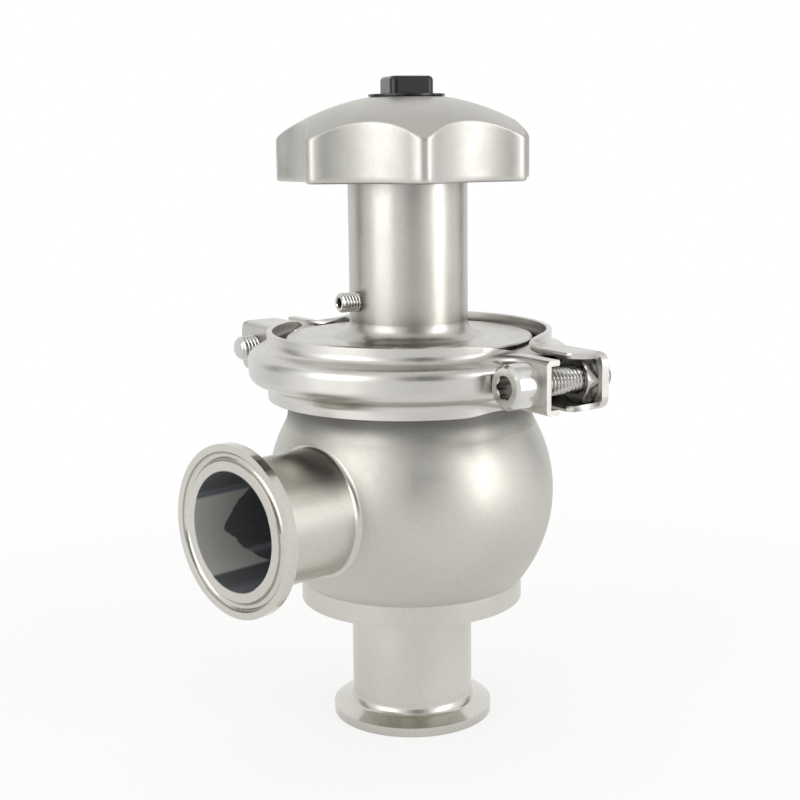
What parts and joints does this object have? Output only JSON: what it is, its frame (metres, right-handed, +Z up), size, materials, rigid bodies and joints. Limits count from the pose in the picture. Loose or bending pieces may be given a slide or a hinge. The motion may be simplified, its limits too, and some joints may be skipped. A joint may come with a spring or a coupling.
{
  "type": "sanitary flow control valve",
  "caption": "Angle pattern sanitary flow control valve: bulb body with clamp ferrule ports, clamped bonnet with yoke tube, lobed handwheel on a rising spindle, plug and seat inside.",
  "frame": {"origin": "centre of the bottom port's ferrule face", "axes": "+Z up the valve's spindle, the side port points along -X"},
  "size_m": [0.1215, 0.1372, 0.2001],
  "materials": {
    "body_steel": "satin, bead blasted",
    "port_steel": "satin tube, polished ferrule face",
    "wheel_steel": "satin",
    "clamp_steel": "tumbled bright",
    "fastener_steel": "bright",
    "turned_steel": "turned",
    "bronze": "machined",
    "seal_rubber": "matte",
    "white_plastic": "matte",
    "black_plastic": "gloss"
  },
  "bodies": {
    "valve_body": {"bulb_shell": "body_steel", "side_port": "port_steel", "bottom_port": "port_steel", "neck_flange": "port_steel", "seat_ring": "port_steel", "body_gasket": "seal_rubber", "bonnet": "body_steel", "yoke_tube": "body_steel", "stem_bush": "white_plastic", "stem_o_rings": "seal_rubber", "spindle_nut": "bronze", "clamp_half_left": "clamp_steel", "clamp_half_right": "clamp_steel", "clamp_bolt_near": "fastener_steel", "clamp_bolt_far": "fastener_steel", "clamp_nut_near": "fastener_steel", "clamp_nut_far": "fastener_steel"},
    "stem": {"stem": "turned_steel", "valve_plug": "turned_steel", "plug_seal": "white_plastic", "flow_cone": "turned_steel", "plug_nut": "fastener_steel", "swivel_collar": "turned_steel", "swivel_pins": "turned_steel"},
    "handwheel": {"spindle": "turned_steel", "thrust_washer": "bronze", "handwheel": "wheel_steel", "handwheel_hub": "wheel_steel", "hub_washer": "fastener_steel", "hub_nut": "fastener_steel", "handwheel_cap": "black_plastic"},
    "lock_screw": {"lock_screw": "fastener_steel"}
  },
  "joints": [
    {"name": "stem_lift", "type": "slide", "parent": "valve_body", "child": "stem", "axis": [0, 0, 1], "range_m": [0, 0.015]},
    {"name": "handwheel_turn", "type": "hinge", "parent": "stem", "child": "handwheel", "pos_m": [0, 0, 0.18], "axis": [0, 0, 1], "range_deg": [0, 1800]},
    {"name": "lock_screw_advance", "type": "slide", "parent": "valve_body", "child": "lock_screw", "axis": [-0.9659, 0.2588, 0], "range_m": [-0.0012, 0.004]}
  ],
  "couplings": [
    {"joint": "stem_lift", "follows": "handwheel_turn", "m_per_rad": 0.00047746}
  ]
}
